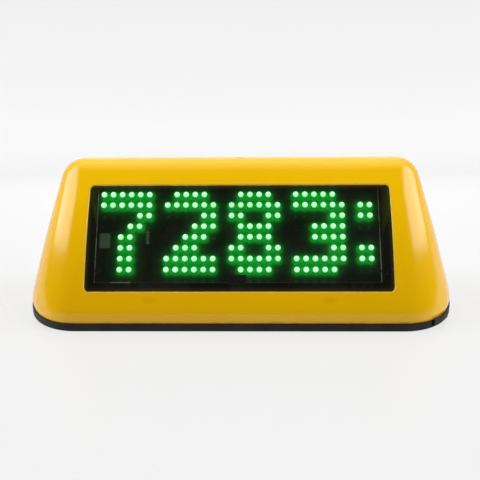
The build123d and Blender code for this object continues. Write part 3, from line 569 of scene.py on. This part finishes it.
def print_mesh(name, center, along, up, outward):
    """Fine grid just over the board, with a UV map and the light spilled by the LEDs."""
    columns = PRINT_CELLS_X + 1
    vertices, glow = [], []
    for j in range(PRINT_CELLS_Y + 1):
        y = (-BOARD_HEIGHT / 2 + PRINT_MARGIN
             + (BOARD_HEIGHT - 2 * PRINT_MARGIN) * j / PRINT_CELLS_Y)
        near_spots = [spot for spot in LED_SPOTS if abs(spot[1] - y) < SPILL_REACH]
        for i in range(columns):
            x = (-BOARD_LENGTH / 2 + PRINT_MARGIN
                 + (BOARD_LENGTH - 2 * PRINT_MARGIN) * i / PRINT_CELLS_X)
            vertices.append(tuple(center + along * x + up * y + outward * PRINT_LIFT))
            glow.append(spilled_light(x, y, near_spots))
    faces = []
    for j in range(PRINT_CELLS_Y):
        for i in range(PRINT_CELLS_X):
            k = j * columns + i
            faces.append((k, k + 1, k + columns + 1, k + columns))
    mesh = bpy.data.meshes.new(name)
    mesh.from_pydata(vertices, [], faces)
    mesh.attributes.new("glow", "FLOAT", "POINT").data.foreach_set("value", glow)
    uv_map = mesh.uv_layers.new(name="board")
    for loop in mesh.loops:
        j, i = divmod(loop.vertex_index, columns)
        uv_map.data[loop.index].uv = (i / PRINT_CELLS_X, j / PRINT_CELLS_Y)
    return mesh


def board_print(name):
    """Printed face of a board. Its textures are read in millimetres across the board."""
    mat = Material(name)
    length_mm, height_mm = BOARD_LENGTH * 1000, BOARD_HEIGHT * 1000
    mat.place = mat.node("Mapping", {
        "Scale": (length_mm, height_mm, 1),
        "Vector": mat.node("UVMap", uv_map="board"),
    })
    x, y, _ = mat.separate(mat.place)
    base = mat.ramp(mat.noise(scale=0.05, detail=5), {0.3: srgb(12, 18, 13), 0.75: srgb(19, 28, 20)})

    # tracks: fine lines along the board in some areas and up it in the others
    lines_up = mat.math("PINGPONG", x, 1.0).remap(span=(0.0, 0.14), to=(1.0, 0.0))
    lines_along = mat.math("PINGPONG", y, 1.2).remap(span=(0.0, 0.18), to=(1.0, 0.0))
    area = mat.noise(scale=0.07, detail=2).remap(span=(0.48, 0.54))
    tracks = (lines_along * area).maximum(lines_up * (1.0 - area))
    base = mat.mix(tracks * 0.35, base, srgb(30, 42, 30))

    # scuffed pale rim of the laminate, barest on the long edges around x = 23; the same rim also
    # carries a painted edge highlight below
    end_edges = x.minimum(length_mm - x).remap(span=(0.25, 0.75), to=(1.0, 0.0))
    end_scuffs = mat.noise(scale=0.05, detail=3).remap(span=(0.42, 0.60), to=(0.25, 1.0))
    long_edges = y.minimum(height_mm - y).remap(span=(0.25, 0.75), to=(1.0, 0.0))
    bared = abs(x - 23.0).remap(span=(7.0, 10.0), to=(1.0, 0.10), smooth=True)
    rim = (end_edges * end_scuffs).maximum(long_edges * bared)
    base = mat.mix(rim, base, srgb(150, 146, 124))

    # green light spilled by the LEDs
    spill = mat.node("Attribute", output="Fac", attribute_name="glow")
    spill = spill * mat.noise(scale=0.35, detail=3).remap(span=(0.3, 0.7), to=(0.85, 1.15))
    glow = mat.ramp(spill.remap(span=(0.0, 1.6)), {
        0.0: (0.0005, 0.0025, 0.0008, 1),
        0.2: (0.001, 0.066, 0.007, 1),
        0.5: (0.0, 0.34, 0.022, 1),
        1.0: (0.0, 0.80, 0.08, 1),
    })

    # painted highlight: the scuffed rim and a few pads glow as if catching light from the front
    pads = mat.node("TexVoronoi", {"Scale": 0.22, "Vector": mat.place}, output="Distance")
    pad_glints = (pads.remap(span=(0.10, 0.16), to=(1.0, 0.0))
            * mat.noise(scale=0.03, detail=2).remap(span=(0.52, 0.60)))
    pale = (rim * 0.19 + pad_glints * 0.018) * 1.0
    glow = mat.mix(1.0, glow, mat.mix(pale, BLACK, (0.95, 1.0, 0.86, 1.0)), blend="ADD")

    relief = tracks + mat.noise(scale=1.5, detail=3) * 0.3
    mat.set({
        "Base Color": base,
        "Roughness": mat.noise(scale=0.2, detail=4).remap(span=(0.3, 0.8), to=(0.22, 0.42)),
        "Coat Weight": 0.2,
        "Emission Color": glow,
        "Emission Strength": 1.9,
        "Normal": mat.bump(relief, strength=0.15, distance=0.0002),
    })
    return mat.material


for side, side_name in ((-1, "front"), (1, "rear")):
    center, along, up, outward = board_axes(side)
    mark_led_tips(nodes[side_name + "_leds"].data, center, outward)
    print_name = side_name + "_board_print"
    skin = add_object(print_name, print_mesh(print_name, center, along, up, outward))
    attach(skin, "base")
    skin.data.materials.append(board_print(print_name))


# ---------------------------------------------------------------- floor and backdrop
def paper_mesh():
    profile = [(PAPER_FRONT, 0.0), (PAPER_BEND, 0.0)]       # y, z
    for k in range(1, PAPER_STEPS + 1):
        angle = math.radians(90 * k / PAPER_STEPS)
        profile.append((PAPER_BEND + PAPER_RADIUS * math.sin(angle),
                        PAPER_RADIUS * (1 - math.cos(angle))))
    profile.append((PAPER_BEND + PAPER_RADIUS, PAPER_TOP))
    vertices = [(x, y, z - PAPER_DROP)
                for y, z in profile for x in (-PAPER_HALF_WIDTH, PAPER_HALF_WIDTH)]
    faces = [(2 * k, 2 * k + 1, 2 * k + 3, 2 * k + 2) for k in range(len(profile) - 1)]
    mesh = bpy.data.meshes.new("floor")
    mesh.from_pydata(vertices, [], faces)
    shade_smooth(mesh)
    return mesh


def floor_paper():
    """Evenly back-lit paper: mostly its own light, some studio light and a faint sheen."""
    mat = Material("floor_paper")
    x, y, _ = mat.separate(mat.place)
    plain = (PAPER_ALBEDO, PAPER_ALBEDO, PAPER_ALBEDO, 1)
    lighter = (PAPER_ALBEDO * 1.04, PAPER_ALBEDO * 1.04, PAPER_ALBEDO * 1.045, 1)
    far = y.remap(span=(0.2, 1.2), smooth=True)
    glow = FLOOR_GLOW + far * (WALL_GLOW - FLOOR_GLOW)

    # reflections see the paper dimmed out to the sides
    sideways = abs(x) / (abs(y) + 0.6)
    dimming = (sideways.remap(span=(0.22, 0.50), to=(0.0, 0.42), smooth=True)
               * mat.node("LightPath", output="Is Glossy Ray"))
    mat.set({
        "Base Color": mat.ramp(mat.noise(scale=1.2, detail=3), {0.3: plain, 0.7: lighter}),
        "Roughness": mat.noise(scale=3, detail=3).remap(span=(0.3, 0.7), to=(0.24, 0.32)),
        # the sheen fades out towards the back
        "Specular IOR Level": y.remap(span=(0.2, 0.7), to=(0.10, 0.0), smooth=True),
        "Emission Color": WHITE,
        "Emission Strength": glow * (1.0 - dimming),
    })

    # the paper is one-sided, so the underside of the sign can be seen from below
    mat.surface(mat.mix_shader(
        mat.node("NewGeometry", output="Backfacing"),
        Value(mat, mat.principled.outputs[0]),
        mat.node("BsdfTransparent")))
    return mat.material


floor = add_object("floor", paper_mesh())
floor.data.materials.append(floor_paper())


# ---------------------------------------------------------------- light
def in_radians(*degrees):
    return tuple(math.radians(angle) for angle in degrees)


def light_tent():
    """A bright wall on each side, a paler top that leans to the back, and a dark front."""
    world = bpy.data.worlds.new("studio")
    bpy.context.scene.world = world
    world.use_nodes = True
    graph = Graph(world.node_tree)
    x, y, z = graph.separate(graph.coordinate("Generated"))
    elevation = graph.math("ARCSINE", z)
    azimuth = graph.math("ARCTAN2", abs(x), y)      # 0 behind the sign, pi at the camera

    # side walls, whose lower edge rises towards the camera
    wall = (azimuth.remap(span=in_radians(64, 76), smooth=True)
            * azimuth.remap(span=in_radians(116, 132), to=(1.0, 0.0), smooth=True))
    slant = elevation - (azimuth - math.radians(80)) * 0.42
    wall = wall * slant.remap(span=in_radians(10, 17), smooth=True)
    wall = wall * elevation.remap(span=in_radians(50, 62), to=(1.0, 0.0), smooth=True)

    tilt = math.radians(24)
    towards_top = y * math.sin(tilt) + z * math.cos(tilt)
    top = towards_top.remap(span=(0.70, 0.92), smooth=True)
    back = (azimuth.remap(span=in_radians(25, 50), to=(1.0, 0.0), smooth=True)
            * elevation.remap(span=in_radians(78, 50), smooth=True))
    light = wall * SIDE_LIGHT + (top * TOP_LIGHT + back * BACK_LIGHT) + FILL_LIGHT

    # beyond the paper the camera sees plain pale studio, from any side
    seen = graph.node("LightPath", output="Is Camera Ray")
    background = graph.tree.nodes["Background"]
    graph.feed(background.inputs["Strength"], light * (1.0 - seen) + seen * SEEN_BACKGROUND)
    graph.feed(background.inputs["Color"], WHITE)


light_tent()


# ---------------------------------------------------------------- camera
def add_camera():
    """The camera is turned about z to face the sign's middle."""
    data = bpy.data.cameras.new("camera")
    data.sensor_width = CAMERA_SENSOR
    data.lens = CAMERA_LENS
    data.clip_start = 0.01
    data.shift_x = CAMERA_SHIFT
    camera = add_object("camera", data)
    camera.location = CAMERA_PLACE
    heading = math.atan2(CAMERA_PLACE[0], -CAMERA_PLACE[1])
    turn = (Matrix.Rotation(heading, 4, "Z")
            @ Matrix.Rotation(CAMERA_PITCH, 4, "X")
            @ Matrix.Rotation(CAMERA_ROLL, 4, "Z"))
    camera.rotation_euler = turn.to_euler()
    bpy.context.scene.camera = camera


add_camera()

view = bpy.context.scene.view_settings
view.view_transform = "Standard"
view.look = "None"
view.exposure = 0.0
view.gamma = 1.0
